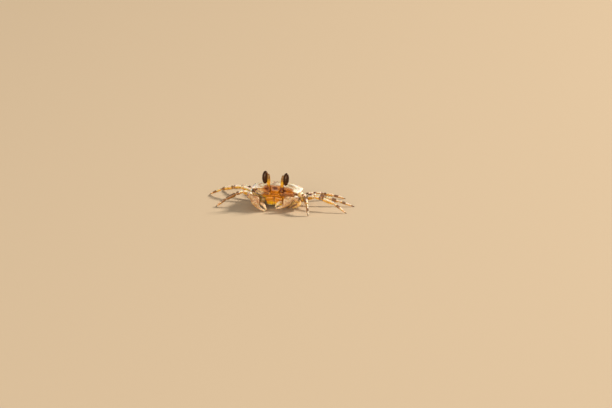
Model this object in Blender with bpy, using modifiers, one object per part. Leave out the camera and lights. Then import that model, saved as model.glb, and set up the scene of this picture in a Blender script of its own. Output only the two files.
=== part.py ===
"""A young ghost crab at life size, standing on its eight walking legs, one solid for each piece of shell.

The crab faces -Y, its left side is +X and the floor is z = 0. Sizes are in millimetres here and are turned
into metres where a mesh is made. The body is drawn level and then tipped as a whole. The limbs are drawn as
they stand.
"""

import math

import bmesh
import bpy
from mathutils import Matrix, Vector

MM = 0.001
GAP = 0.3                          # clear space between neighbouring pieces of shell
SIDES = {"left": 1, "right": -1}

# Body
SHELL_HALF_WIDTH = 9.75           # at the corners beside the eyes
SHELL_TOP = 8.75
FRONT_Y = -8.4
REAR_Y = 8.5
ROLL = math.radians(3.5)           # left side down
PITCH = math.radians(4.0)          # front up
TIP_CENTRE = Vector((0.0, 0.0, 5.0))

# Eyes, on the left side
CORNEA_CENTRE = Vector((4.4, -9.1, 12.1))
CORNEA_HALF_LENGTH = 2.6
CORNEA_RADIUS = 1.12
STALK_FOOT = Vector((2.6, -8.5, 6.3))
STALK_HEAD = Vector((3.0, -9.1, 13.7))
STALK_RADIUS = 0.72

# Walking legs, front pair to back pair
ROOT_LENGTH = (2.8, 2.8, 2.7, 2.5)
OUTER_LENGTHS = {                  # wrist, hand, toe
    "left": ((2.9, 4.7, 5.0), (3.4, 6.0, 6.5), (3.3, 5.9, 6.4), (2.7, 4.4, 5.0)),
    "right": ((2.9, 4.6, 4.9), (3.4, 6.0, 6.5), (3.3, 5.9, 6.4), (2.7, 4.4, 5.0)),
}
GIRTH = {"left": (1.1, 1.0, 1.0, 0.82), "right": (0.92, 1.0, 1.0, 0.82)}
HIPS = ((5.0, -3.1, 2.3), (5.2, -0.9, 2.2), (5.1, 1.4, 2.2), (4.6, 3.6, 2.4))
WRIST_SHARE = 0.5                  # bend at the wrist for each unit of bend at the toe
STANCE = {                         # knee and foot of each leg as the crab stands
    "left": (
        ((11.6, -8.5, 6.4), (15.4, -16.8)),
        ((15.4, -5.0, 4.9), (29.4, -9.8)),
        ((15.4, 0.6, 4.2), (30.4, 1.0)),
        ((13.8, 7.6, 3.2), (24.4, 12.4)),
    ),
    "right": (
        ((-13.4, -6.7, 6.1), (-23.6, -9.8)),
        ((-16.4, 3.4, 5.3), (-30.5, 8.0)),
        ((-14.8, 7.4, 4.4), (-27.0, 16.0)),
        ((-10.8, 10.6, 3.9), (-15.5, 20.8)),
    ),
}

# Claw arms: shoulder, elbow, wrist and finger tips, and the size of the hand; the left arm is the stouter
ARM_GIRTH = {"left": 1.22, "right": 1.0}
ARMS = {
    "left": ((4.6, -5.3, 1.6), (11.5, -10.4, 3.6), (8.5, -11.4, 6.0), (1.6, -14.2, 2.0), 0.92),
    "right": ((-4.6, -5.1, 2.3), (-10.8, -9.0, 5.2), (-9.5, -11.5, 5.9), (-2.4, -13.9, 0.6), 1.0),
}

COLOURS = {
    "shell": (0.62, 0.45, 0.26, 1.0),
    "belly": (0.78, 0.66, 0.46, 1.0),
    "mouth": (0.83, 0.56, 0.10, 1.0),
    "stalk": (0.72, 0.50, 0.08, 1.0),
    "cornea": (0.035, 0.015, 0.02, 1.0),
    "leg": (0.55, 0.36, 0.18, 1.0),
    "claw": (0.66, 0.46, 0.30, 1.0),
}
GLOSS = {"cornea": 0.08}


for old in list(bpy.data.objects):
    bpy.data.objects.remove(old, do_unlink=True)

crab = bpy.data.collections.new("ghost_crab")
shell_cutters = bpy.data.collections.new("shell_cutters")
stalk_cutters = bpy.data.collections.new("stalk_cutters")
for collection in (crab, shell_cutters, stalk_cutters):
    bpy.context.scene.collection.children.link(collection)

root = bpy.data.objects.new("crab_origin", None)
crab.objects.link(root)
trunk = bpy.data.objects.new("tipped_body", None)
crab.objects.link(trunk)
trunk.parent = root
TIPPED = (
    Matrix.Translation(TIP_CENTRE)
    @ Matrix.Rotation(ROLL, 4, "Y")
    @ Matrix.Rotation(-PITCH, 4, "X")
    @ Matrix.Translation(-TIP_CENTRE)
)
trunk.matrix_local = Matrix.Translation(TIPPED.translation * MM) @ TIPPED.to_3x3().to_4x4()


def make_material(name):
    material = bpy.data.materials.new(name)
    material.use_nodes = True
    shader = material.node_tree.nodes["Principled BSDF"]
    shader.inputs["Base Color"].default_value = COLOURS[name]
    shader.inputs["Roughness"].default_value = GLOSS.get(name, 0.45)
    shader.inputs["Metallic"].default_value = 0.0
    return material


MATERIALS = {name: make_material(name) for name in COLOURS}


def finish(name, bm, material, parent, cutters=None):
    """Scale the bmesh to metres and hang its object on its parent, or put a cutter with its cutters."""
    bmesh.ops.scale(bm, vec=(MM, MM, MM), verts=bm.verts)
    mesh = bpy.data.meshes.new(name)
    bm.to_mesh(mesh)
    bm.free()
    mesh.shade_smooth()
    mesh.set_sharp_from_angle(angle=math.radians(40))
    piece = bpy.data.objects.new(name, mesh)
    piece.parent = parent
    if cutters:
        cutters.objects.link(piece)
        piece.hide_render = True
        piece.display_type = "WIRE"
    else:
        mesh.materials.append(MATERIALS[material])
        crab.objects.link(piece)
    return piece


def through(t, stops):
    """Value at t of a smooth line through (place, value) stops."""
    for (t0, v0), (t1, v1) in zip(stops, stops[1:]):
        if t <= t1:
            s = max(0.0, (t - t0) / (t1 - t0))
            return v0 + (v1 - v0) * s * s * (3 - 2 * s)
    return stops[-1][1]


def pod(start, end, up, breadth, depth, offset=((0, 0), (1, 0)), sides=8, rings=8, fullness=0.4):
    """A UV sphere drawn out from start to end, with its half-breadth, half-depth and offset by place."""
    start, end, up = Vector(start), Vector(end), Vector(up)
    axis = end - start
    length = axis.length
    axis.normalize()
    up = (up - axis * up.dot(axis)).normalized()
    side = up.cross(axis)
    bm = bmesh.new()
    bmesh.ops.create_uvsphere(bm, u_segments=sides, v_segments=rings, radius=1.0)
    for vert in bm.verts:
        x, y, z = vert.co
        t = (1 + z) / 2
        ring = math.hypot(x, y)
        swell = ring ** (fullness - 1) if ring > 1e-6 else 0.0
        across = side * (x * swell * through(t, breadth))
        along_up = up * (y * swell * through(t, depth) + through(t, offset))
        vert.co = start + axis * (t * length) + across + along_up
    return bm


def stand_on_floor(bm):
    """Cut the foot off level with the floor and close it with a small flat."""
    geometry = bm.verts[:] + bm.edges[:] + bm.faces[:]
    bmesh.ops.bisect_plane(bm, geom=geometry, plane_co=(0, 0, 0), plane_no=(0, 0, 1), clear_inner=True)
    rim = [edge for edge in bm.edges if edge.is_boundary]
    bmesh.ops.edgeloop_fill(bm, edges=rim)
    bmesh.ops.recalc_face_normals(bm, faces=bm.faces)


def half_cage(name, rings, material, levels=1):
    """A soft symmetric form: half rings lofted front to back, mirrored across x = 0 and subdivided."""
    bm = bmesh.new()
    loops = [[bm.verts.new(Vector(point)) for point in ring] for ring in rings]
    for one, two in zip(loops, loops[1:]):
        for k in range(len(one) - 1):
            bm.faces.new((one[k], one[k + 1], two[k + 1], two[k]))
    bm.faces.new(reversed(loops[0]))
    bm.faces.new(loops[-1])
    piece = finish(name, bm, material, trunk)
    mirror = piece.modifiers.new("other half", "MIRROR")
    mirror.use_clip = True
    mirror.merge_threshold = 0.00001
    soft = piece.modifiers.new("soft", "SUBSURF")
    soft.levels = levels
    soft.render_levels = levels
    return piece


def cut(piece, cutter):
    """Subtract a cutter, one object or a whole collection."""
    hollow = piece.modifiers.new("hollow", "BOOLEAN")
    hollow.operation = "DIFFERENCE"
    if isinstance(cutter, bpy.types.Collection):
        hollow.operand_type = "COLLECTION"
        hollow.collection = cutter
    else:
        hollow.object = cutter


def mirrored(point, side):
    return Vector((point[0] * SIDES[side], point[1], point[2]))


# The carapace: a deep, nearly square box with a ridge along each side and a domed top, steep behind.
def shell_ring(y, width, top, bottom, low_width=0.54):
    """Half a cross-section of the carapace, from the middle of its back round to the middle below."""
    ridge = top - 1.75
    w = SHELL_HALF_WIDTH * width
    return (
        (0, y, top),
        (w * 0.52, y, top - 0.28),
        (w * 0.88, y, top - 1.05),
        (w * 1.02, y, ridge),
        (w * 0.97, y, ridge - (ridge - bottom) * 0.2),
        (w * (low_width + 0.28), y, bottom + 1.0),
        (w * low_width, y, bottom),
        (0, y, bottom),
    )


shell = half_cage(
    "carapace",
    (
        shell_ring(FRONT_Y, 0.82, SHELL_TOP - 0.30, 5.0, 0.45),
        shell_ring(FRONT_Y + 0.3, 0.93, SHELL_TOP - 0.15, 4.2, 0.42),
        shell_ring(FRONT_Y + 1.0, 0.99, SHELL_TOP - 0.05, 3.2, 0.38),
        shell_ring(FRONT_Y + 1.9, 1.01, SHELL_TOP, 2.8, 0.38),
        shell_ring(-4.6, 1.02, SHELL_TOP + 0.10, 3.4, 0.46),
        shell_ring(-0.8, 1.00, SHELL_TOP + 0.10, 3.6),
        shell_ring(2.8, 0.97, SHELL_TOP - 0.10, 3.7),
        shell_ring(5.8, 0.87, SHELL_TOP - 0.60, 4.0),
        shell_ring(7.6, 0.75, SHELL_TOP - 1.20, 4.5),
        shell_ring(REAR_Y, 0.62, SHELL_TOP - 1.75, 4.8),
    ),
    "shell",
)

# Two hollows on each side of the front: the long orbit that the eye folds into, and the notch for its stalk.
for side, sign in SIDES.items():
    orbit = pod(
        (1.5 * sign, FRONT_Y - 0.1, 6.6),
        (8.0 * sign, FRONT_Y + 0.3, 6.4),
        (0, 0, 1),
        ((0, 1.05), (1, 0.9)),
        ((0, 1.15), (1, 0.95)),
        fullness=0.45,
    )
    finish("orbit_cutter_" + side, orbit, None, trunk, shell_cutters)
    room = STALK_RADIUS + GAP + 0.05
    notch = pod(
        mirrored(STALK_FOOT, side) - Vector((0, 0, 1.0)),
        mirrored(STALK_HEAD, side),
        (0, 1, 0),
        ((0, room), (1, room)),
        ((0, room), (1, room)),
        fullness=0.3,
    )
    finish("notch_cutter_" + side, notch, None, trunk, shell_cutters)
cut(shell, shell_cutters)


# The breast plate between the legs, grooved along the middle where the tail lies folded.
def breast_ring(y, width, low, high=3.0):
    w = 4.3 * width
    return (
        (0, y, high),
        (w * 0.85, y, high),
        (w, y, high - 0.65),
        (w * 0.82, y, low),
        (w * 0.55, y, low + 0.15),
        (w * 0.38, y, 1.7),
        (0, y, 1.7),
    )


half_cage(
    "breast_plate",
    (
        breast_ring(-6.2, 0.50, 1.3, 2.3),
        breast_ring(-4.8, 0.84, 1.0, 2.7),
        breast_ring(-0.5, 1.06, 0.9),
        breast_ring(4.4, 0.90, 1.0),
        breast_ring(5.5, 0.66, 1.4),
    ),
    "belly",
)

# The tail: a flat strap that leaves the back edge, turns down and lies forward along the breast plate.
TAIL_PATH = ((7.3, 4.1), (7.9, 3.3), (7.5, 1.9), (6.0, 1.0), (2.0, 0.85), (-3.4, 0.95))
TAIL_HALF_WIDTHS = (3.3, 3.5, 3.1, 2.5, 1.7, 0.7)
TAIL_HALF_THICKNESS = 0.3


def tail_ring(index):
    here = Vector(TAIL_PATH[index])
    before = Vector(TAIL_PATH[max(index - 1, 0)])
    after = Vector(TAIL_PATH[min(index + 1, len(TAIL_PATH) - 1)])
    along = (after - before).normalized()
    out = Vector((-along.y, along.x)) * TAIL_HALF_THICKNESS
    inner, outer = here - out, here + out
    width = TAIL_HALF_WIDTHS[index]
    return (
        (0, outer.x, outer.y),
        (width * 0.75, outer.x, outer.y),
        (width, here.x, here.y),
        (width * 0.75, inner.x, inner.y),
        (0, inner.x, inner.y),
    )


half_cage("tail", [tail_ring(index) for index in range(len(TAIL_PATH))], "belly")

# Eyes on stalks: the cornea is a long grain on the outer face of its stalk.
for side, sign in SIDES.items():
    centre = mirrored(CORNEA_CENTRE, side)
    lean = Vector((0.02 * sign, 0.0, 1.0)).normalized()
    grain = ((0, 0.72), (0.4, 1.0), (0.62, 0.98), (1, 0.52))

    def cornea(grow):
        reach = lean * (CORNEA_HALF_LENGTH + grow)
        girth = tuple((t, r * (CORNEA_RADIUS + grow)) for t, r in grain)
        ends = centre - reach, centre + reach
        return pod(*ends, (0, 1, 0), girth, girth, sides=12, rings=10, fullness=0.72)

    finish("cornea_" + side, cornea(0), "cornea", trunk)
    cutter = finish("cornea_cutter_" + side, cornea(GAP), None, trunk, stalk_cutters)
    girth = tuple((t, STALK_RADIUS * r) for t, r in ((0, 1.0), (0.35, 0.86), (0.8, 1.04), (1, 0.8)))
    stalk = pod(mirrored(STALK_FOOT, side), mirrored(STALK_HEAD, side), (0, 1, 0), girth, girth, sides=12)
    cut(finish("eyestalk_" + side, stalk, "stalk", trunk), cutter)

# Mouth: a bar under the front with the two short feelers, and the pair of plates that close over the jaws.
bar = pod((-2.7, -8.85, 5.0), (2.7, -8.85, 5.0), (0, 0, 1), ((0, 0.3), (1, 0.3)), ((0, 0.34), (1, 0.34)))
mouth_bar = finish("mouth_bar", bar, "mouth", trunk)
feelers = bpy.data.collections.new("feelers")
bpy.context.scene.collection.children.link(feelers)
for side, sign in SIDES.items():
    taper = ((0, 0.3), (1, 0.26))
    feeler = pod((1.6 * sign, -8.85, 5.05), (1.9 * sign, -10.2, 6.1), (0, 0, 1), taper, taper, rings=6)
    finish("feeler_" + side, feeler, "mouth", trunk, feelers)
    plate = pod(
        (1.76 * sign, -8.85, 4.45),
        (1.5 * sign, -7.05, 0.85),
        (0, -1, 0),
        ((0, 1.35), (0.3, 1.55), (0.7, 1.48), (1, 1.2)),
        ((0, 0.38), (0.4, 0.46), (1, 0.38)),
        fullness=0.36,
    )
    finish("mouth_plate_" + side, plate, "mouth", trunk)
growth = mouth_bar.modifiers.new("feelers", "BOOLEAN")
growth.operation = "UNION"
growth.operand_type = "COLLECTION"
growth.collection = feelers


# Limbs. A limb is a chain of pods, each stopping short of the joints at its two ends.
UP = Vector((0, 0, 1))


def link(name, start, end, breadth, depth, material, short=(GAP / 2, GAP / 2)):
    """One piece of a limb between two joints, broad across and deep in the limb's own upright plane."""
    start, end = Vector(start), Vector(end)
    axis = (end - start).normalized()
    bm = pod(start + axis * short[0], end - axis * short[1], UP, breadth, depth, fullness=0.24)
    return finish(name, bm, material, root)


def outer_chain(knee, foot, lengths):
    """Wrist, hand and toe arched in an upright plane from knee to foot: the two joints between them."""
    chord = foot - knee
    base = chord.normalized()
    rise = (UP - base * UP.dot(base)).normalized()

    def laid(bend):
        """The three pieces laid out flat for a given bend, each as (along, up)."""
        turns = (WRIST_SHARE * bend, 0.0, -bend)
        return [(n * math.cos(turn), n * math.sin(turn)) for n, turn in zip(lengths, turns)]

    low, high = 0.0, math.pi / 2
    for _ in range(40):
        bend = (low + high) / 2
        reach = math.hypot(sum(x for x, _ in laid(bend)), sum(z for _, z in laid(bend)))
        low, high = (bend, high) if reach > chord.length else (low, bend)
    pieces = laid(bend)
    tilt = -math.atan2(sum(z for _, z in pieces), sum(x for x, _ in pieces))
    points = [knee]
    for x, z in pieces[:2]:
        along = x * math.cos(tilt) - z * math.sin(tilt)
        above = x * math.sin(tilt) + z * math.cos(tilt)
        points.append(points[-1] + base * along + rise * above)
    return points[1:]


for side in SIDES:
    for number, (knee, foot) in enumerate(STANCE[side]):
        name = "leg%d_%s_" % (number + 1, side)
        girth = GIRTH[side][number]
        hip = TIPPED @ mirrored(HIPS[number], side)
        knee = Vector(knee)
        foot = Vector((foot[0], foot[1], 0))
        toward = (knee - hip).normalized()
        root_end = hip + Vector((toward.x, toward.y, toward.z * 0.4)).normalized() * ROOT_LENGTH[number]
        wrist, ankle = outer_chain(knee, foot, OUTER_LENGTHS[side][number])

        def sized(*stops):
            return tuple((t, value * girth) for t, value in stops)

        link(name + "root", hip, root_end, sized((0, 0.85), (1, 0.72)), sized((0, 0.95), (1, 0.8)), "leg")
        link(
            name + "thigh",
            root_end,
            knee,
            sized((0, 0.5), (0.4, 0.7), (1, 0.58)),
            sized((0, 0.62), (0.45, 0.95), (0.8, 0.86), (1, 0.66)),
            "leg",
            (GAP / 2, GAP),
        )
        link(
            name + "wrist",
            knee,
            wrist,
            sized((0, 0.46), (0.7, 0.6), (1, 0.52)),
            sized((0, 0.5), (0.7, 0.68), (1, 0.6)),
            "leg",
        )
        link(
            name + "hand",
            wrist,
            ankle,
            sized((0, 0.46), (0.5, 0.54), (1, 0.42)),
            sized((0, 0.55), (0.4, 0.66), (1, 0.46)),
            "leg",
        )
        toe_axis = (foot - ankle).normalized()
        toe = pod(
            ankle + toe_axis * GAP / 2,
            foot + toe_axis * 0.7,
            UP,
            ((0, 0.40), (0.5, 0.36), (1, 0.27)),
            ((0, 0.42), (0.5, 0.38), (1, 0.27)),
        )
        stand_on_floor(toe)
        finish(name + "toe", toe, "leg", root)

# Claw arms: two stout links out to the elbow, a chunky wrist, and a deep hand with its fingers inward.
PALM_LENGTH = 0.52                 # of the hand with its fingers
for side, (shoulder, elbow, wrist, tips, size) in ARMS.items():
    name = "claw_%s_" % side
    shoulder, elbow, wrist, tips = (Vector(point) for point in (shoulder, elbow, wrist, tips))
    collar = shoulder + (elbow - shoulder).normalized() * 2.1
    link(name + "root", shoulder, collar, ((0, 0.95), (1, 0.85)), ((0, 1.0), (1, 0.9)), "claw")
    stout = ARM_GIRTH[side]
    link(
        name + "arm",
        collar,
        elbow,
        ((0, 0.8), (0.7, 1.05 * stout), (1, 0.95 * stout)),
        ((0, 0.85), (0.7, 1.2 * stout), (1, 1.05 * stout)),
        "claw",
        (GAP / 2, GAP * 3.0 * stout),
    )
    link(
        name + "wrist",
        elbow,
        wrist,
        ((0, 0.95), (0.5, 1.15), (1, 0.8)),
        ((0, 1.0), (0.5, 1.2), (1, 0.85)),
        "claw",
        (GAP * 3.0 * stout, GAP),
    )
    reach = tips - wrist
    axis = reach.normalized()
    face = Vector((0.25 * SIDES[side], -1.0, 0.25))
    face = (face - axis * face.dot(axis)).normalized()
    crest = axis.cross(face) * SIDES[side]
    crest = crest if crest.z > 0 else -crest
    palm = pod(
        wrist + axis * GAP,
        tips,
        crest,
        ((0, 0.55 * size), (0.32, 1.25 * size), (0.5, 1.0 * size), (0.62, 0.5), (1, 0.27)),
        ((0, 0.9 * size), (0.3, 2.0 * size), (0.44, 1.95 * size), (0.58, 0.62), (1, 0.27)),
        ((0, 0), (0.44, 0), (0.58, -1.15 * size), (0.75, -1.0 * size), (1, -0.3)),
        sides=10,
        rings=14,
    )
    finish(name + "palm", palm, "claw", root)
    hinge = wrist + reach * (PALM_LENGTH + 0.06) + crest * 0.9 * size
    finger = pod(
        hinge,
        tips + crest * 0.42,
        crest,
        ((0, 0.5 * size), (0.4, 0.48), (1, 0.27)),
        ((0, 0.75 * size), (0.4, 0.5), (1, 0.27)),
        ((0, 0), (0.45, 0.42), (1, 0)),
        sides=10,
        rings=10,
    )
    finish(name + "finger", finger, "claw", root)

# The origin is on the floor under the middle of the whole crab's outline.
bpy.context.view_layer.update()
depsgraph = bpy.context.evaluated_depsgraph_get()
corners = []
for piece in crab.objects:
    if piece.type == "MESH":
        evaluated = piece.evaluated_get(depsgraph)
        corners += [piece.matrix_world @ vert.co for vert in evaluated.data.vertices]
middle = [(min(c[axis] for c in corners) + max(c[axis] for c in corners)) / 2 for axis in (0, 1)]
root.location = (-middle[0], -middle[1], -min(c.z for c in corners))
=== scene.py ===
"""A young ghost crab at life size: each plate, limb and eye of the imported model, finished as real shell."""

import math

import bmesh
import bpy
import numpy as np
from mathutils import Matrix, noise


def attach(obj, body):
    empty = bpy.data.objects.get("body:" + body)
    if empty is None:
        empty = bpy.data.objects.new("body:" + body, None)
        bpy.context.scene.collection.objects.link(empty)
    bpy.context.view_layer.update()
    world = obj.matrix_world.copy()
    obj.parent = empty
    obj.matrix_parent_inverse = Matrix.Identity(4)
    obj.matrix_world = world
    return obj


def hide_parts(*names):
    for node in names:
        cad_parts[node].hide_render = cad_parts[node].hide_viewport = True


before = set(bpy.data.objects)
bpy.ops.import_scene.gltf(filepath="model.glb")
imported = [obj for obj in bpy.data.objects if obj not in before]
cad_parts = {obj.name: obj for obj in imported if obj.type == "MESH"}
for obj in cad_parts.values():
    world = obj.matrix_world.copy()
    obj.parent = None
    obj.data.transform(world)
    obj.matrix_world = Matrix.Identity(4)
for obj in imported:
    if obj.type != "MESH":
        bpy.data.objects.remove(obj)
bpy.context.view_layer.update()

# Carapace. The broad plate over the back, folded down at the sides and under the front to frame the mouth.
# It is one piece of limy shell, grown with a pebbled surface, a beaded keel along each side and a hollow on
# each side of the front for the folded eye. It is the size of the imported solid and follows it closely.
TO_MM = 1000.0
ROLL = math.radians(3.5)                      # the body leans to its left
PITCH = math.radians(4.0)                     # and sits back
EYES_AT = np.array((0.0, -9.1, 12.1))         # the point between the eyes, in the level body's millimetres
SHELL_GRAIN = 0.105                           # spacing of the fine surface
PEBBLE = 0.50
# turns the corner of a cell into a scatter of dots that looks random and is always the same
SCATTER = np.array(((127.1, 269.5, 113.5), (311.7, 183.3, 271.9), (74.7, 246.1, 124.6)))


def solid_points(node):
    """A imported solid's corners in millimetres."""
    return np.array([vert.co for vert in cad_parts[node].data.vertices]) * TO_MM


def middle_of(node):
    points = solid_points(node)
    return (points.min(0) + points.max(0)) / 2


eyes = (middle_of("cornea_left") + middle_of("cornea_right")) / 2
lean = np.array(Matrix.Rotation(ROLL, 3, "Y") @ Matrix.Rotation(-PITCH, 3, "X"))


def level(points):
    """Points in the row frame turned into the level body's own directions."""
    return (points - eyes) @ lean + EYES_AT


def leaned(points):
    return (points - EYES_AT) @ lean.T + eyes


def even_skin(node, spacing, soften=0):
    """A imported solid's surface, its facets rounded off, as an even net of small squares: points and faces."""
    bm = bmesh.new()
    bm.from_mesh(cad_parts[node].data)
    bmesh.ops.remove_doubles(bm, verts=bm.verts, dist=1e-7)
    bmesh.ops.scale(bm, vec=(TO_MM,) * 3, verts=bm.verts)
    mesh = bpy.data.meshes.new("even")
    bm.to_mesh(mesh)
    bm.free()
    blank = bpy.data.objects.new("even", mesh)
    bpy.context.scene.collection.objects.link(blank)
    blank.modifiers.new("rounded", "SUBSURF").levels = soften
    remesh = blank.modifiers.new("even", "REMESH")
    remesh.mode = "VOXEL"
    remesh.voxel_size = spacing
    net = blank.evaluated_get(bpy.context.evaluated_depsgraph_get()).to_mesh()
    points = np.empty(len(net.vertices) * 3)
    net.vertices.foreach_get("co", points)
    faces = np.array([tuple(face.vertices) for face in net.polygons])
    bpy.data.objects.remove(blank)
    return points.reshape(-1, 3), faces


def edges_of(faces):
    pairs = np.concatenate([faces[:, (k, (k + 1) % faces.shape[1])] for k in range(faces.shape[1])])
    return np.unique(np.sort(pairs, axis=1), axis=0)


def mean_of_neighbours(points, edges):
    """Each point's average over the points it shares an edge with."""
    ends = np.concatenate((edges[:, 0], edges[:, 1]))
    others = np.concatenate((edges[:, 1], edges[:, 0]))
    total = len(points)
    sums = [np.bincount(ends, weights=points[others, axis], minlength=total) for axis in range(3)]
    return np.stack(sums, axis=1) / np.bincount(ends, minlength=total)[:, None]


def relaxed(points, edges, rounds):
    """Smoothed without shrinking: each round pulls in and then pushes nearly as far out."""
    for _ in range(rounds):
        for pull in (0.6, -0.62):
            points = points + pull * (mean_of_neighbours(points, edges) - points)
    return points


def outward(points, faces):
    """Unit normals at the points of a net of squares."""
    across = points[faces[:, 2]] - points[faces[:, 0]]
    down = points[faces[:, 3]] - points[faces[:, 1]]
    facing = np.cross(across, down)
    total = np.zeros_like(points)
    for k, axis in np.ndindex(4, 3):
        total[:, axis] += np.bincount(faces[:, k], weights=facing[:, axis], minlength=len(points))
    return total / np.maximum(np.linalg.norm(total, axis=1), 1e-12)[:, None]


def bell(distance, width):
    return np.exp(-((distance / width) ** 2))


def ease(value, low, high):
    """0 below low, 1 above high, and smooth between."""
    t = np.clip((value - low) / (high - low), 0, 1)
    return t * t * (3 - 2 * t)


def between(value, rise, risen, fall, fallen):
    """1 from risen to fall, 0 outside rise and fallen, and smooth in the gaps."""
    return ease(value, rise, risen) * ease(-value, -fallen, -fall)


def clouds(points, size, seed):
    """Soft lumps about one across a size, from -1 to 1."""
    moved = (points / size + 17.3 * seed).reshape(-1, 3)
    return np.array([noise.noise(place) for place in moved.tolist()]).reshape(points.shape[:-1])


def pebbles(points, size, seed):
    """Rounded grains scattered about a size apart, from 0 between them to 1 on top of each."""
    cell = np.floor(points / size)
    nearest = np.full(points.shape[:-1], 9.0)
    for step in np.ndindex(3, 3, 3):
        corner = cell + np.array(step) - 1
        jitter = np.abs(np.sin(corner @ SCATTER + seed) * 43758.5453) % 1.0
        gap = np.linalg.norm(corner + 0.15 + 0.7 * jitter - points / size, axis=-1)
        nearest = np.minimum(nearest, gap)
    return np.clip(1 - (nearest / 0.5) ** 2, 0, 1)


def near_line(plan, line):
    """Distance from each (x, y) point to a line of (x, y) places."""
    best = np.full(len(plan), 99.0)
    for start, end in zip(np.array(line), np.array(line[1:])):
        along = end - start
        share = np.clip(((plan - start) @ along) / (along @ along), 0, 1)
        best = np.minimum(best, np.linalg.norm(plan - start - share[:, None] * along, axis=1))
    return best


class Wire:
    """One socket in a shader. Sums and products of wires add the Math nodes that work them out."""

    def __init__(self, tree, socket):
        self.tree = tree
        self.socket = socket

    def node(self, kind, settings, inputs, out=0):
        """Any other node: its settings, then the values or wires of its sockets. Gives the named output."""
        made = self.tree.nodes.new(kind)
        for name, value in settings.items():
            setattr(made, name, value)
        for name, value in inputs.items():
            if isinstance(value, Wire):
                self.tree.links.new(value.socket, made.inputs[name])
            else:
                made.inputs[name].default_value = value
        return Wire(self.tree, made.outputs[out])

    def work(self, operation, first, second):
        return self.node("ShaderNodeMath", {"operation": operation}, {0: first, 1: second})

    def __add__(self, other):
        return self.work("ADD", self, other)

    def __radd__(self, other):
        return self.work("ADD", other, self)

    def __sub__(self, other):
        return self.work("SUBTRACT", self, other)

    def __rsub__(self, other):
        return self.work("SUBTRACT", other, self)

    def __mul__(self, other):
        return self.work("MULTIPLY", self, other)

    def __rmul__(self, other):
        return self.work("MULTIPLY", other, self)

    def ease(self, low, high):
        """0 below low, 1 above high, and smooth between."""
        settings = {"interpolation_type": "SMOOTHSTEP"}
        return self.node("ShaderNodeMapRange", settings, {0: self, 1: low, 2: high, 3: 0.0, 4: 1.0})

    def tint(self, under, over):
        """Where this value is 0 the colour under shows, and where it is 1 the colour over."""
        colours = {6: under, 7: over}
        colours = {k: c if isinstance(c, Wire) else (*c, 1.0) for k, c in colours.items()}
        return self.node("ShaderNodeMix", {"data_type": "RGBA"}, {0: self, **colours}, 2)

    def specks(self, size, detail=3.0, rough=0.55, warp=0.0):
        """Soft noise whose lumps are about one size across in millimetres, from 0 to 1."""
        sockets = {"Vector": self, "Scale": 1.0 / size, "Detail": detail, "Roughness": rough}
        return self.node("ShaderNodeTexNoise", {}, {**sockets, "Distortion": warp}, "Fac")

    def cells(self, size):
        """Distance to the nearest of a scatter of dots about a size apart."""
        return self.node("ShaderNodeTexVoronoi", {}, {"Vector": self, "Scale": 1.0 / size}, "Distance")

    def value_of(self, name):
        """A value stored on the mesh's points."""
        return self.node("ShaderNodeAttribute", {"attribute_name": name}, {}, "Fac")


def new_finish(name, glow=0.0, coat=0.0, depth=0.45):
    """A shell finish that light sinks into: its material, its shader, and the place on it in millimetres."""
    material = bpy.data.materials.new(name)
    material.use_nodes = True
    tree = material.node_tree
    shader = tree.nodes["Principled BSDF"]
    uniform = {
        "IOR": 1.52, "Subsurface Weight": glow, "Subsurface Radius": (1.0, 0.42, 0.14),
        "Subsurface Scale": depth / TO_MM, "Coat Weight": coat, "Coat Roughness": 0.18,
        "Specular Tint": (1.0, 0.90, 0.74, 1.0),
    }
    for socket, value in uniform.items():
        shader.inputs[socket].default_value = value
    metres = Wire(tree, tree.nodes.new("ShaderNodeTexCoord").outputs["Object"])
    place = metres.node("ShaderNodeVectorMath", {"operation": "SCALE"}, {"Vector": metres, "Scale": TO_MM})
    return material, shader, place


def lay_on(shader, colour, roughness, height=None, depth=0.02):
    """Join a finish's colour, roughness and relief to its shader. Depth is the relief's in millimetres."""
    tree = shader.id_data
    tree.links.new(colour.socket, shader.inputs["Base Color"])
    tree.links.new(roughness.socket, shader.inputs["Roughness"])
    if height:
        sockets = {"Height": height, "Strength": 1.0, "Distance": depth / TO_MM}
        bump = height.node("ShaderNodeBump", {}, sockets, "Normal")
        tree.links.new(bump.socket, shader.inputs["Normal"])


def put_piece(name, points, faces, material, nodes, values=None):
    """Make a piece from points in millimetres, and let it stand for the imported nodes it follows."""
    mesh = bpy.data.meshes.new(name)
    mesh.from_pydata((points / TO_MM).tolist(), [], [tuple(face) for face in faces])
    mesh.shade_smooth()
    mesh.materials.append(material)
    for label, numbers in (values or {}).items():
        mesh.attributes.new(label, "FLOAT", "POINT").data.foreach_set("value", numbers.astype(np.float32))
    piece = bpy.data.objects.new(name, mesh)
    bpy.context.scene.collection.objects.link(piece)
    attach(piece, "root")
    if nodes:
        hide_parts(*nodes)
    return piece


# Dark marks on the left half of the back: (x, y) and how far each is drawn out sideways.
DARK_MARKS = ((2.2, -6.0, 1.8), (2.1, 1.4, 1.5), (2.3, 0.4, 0.8), (2.3, 2.4, 1.7), (3.4, 5.0, 1.5),
              (5.6, -2.4, 1.3), (6.6, 2.2, 0.9))
# The stomach, heart and gill fields, raised a little: (x, y), squeeze along the body, radius and rise.
FIELDS = ((0.0, -2.6, 0.80, 2.0, 0.20), (0.0, 3.0, 1.0, 1.3, 0.16), (5.4, 0.6, 0.55, 2.3, 0.24))
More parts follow.
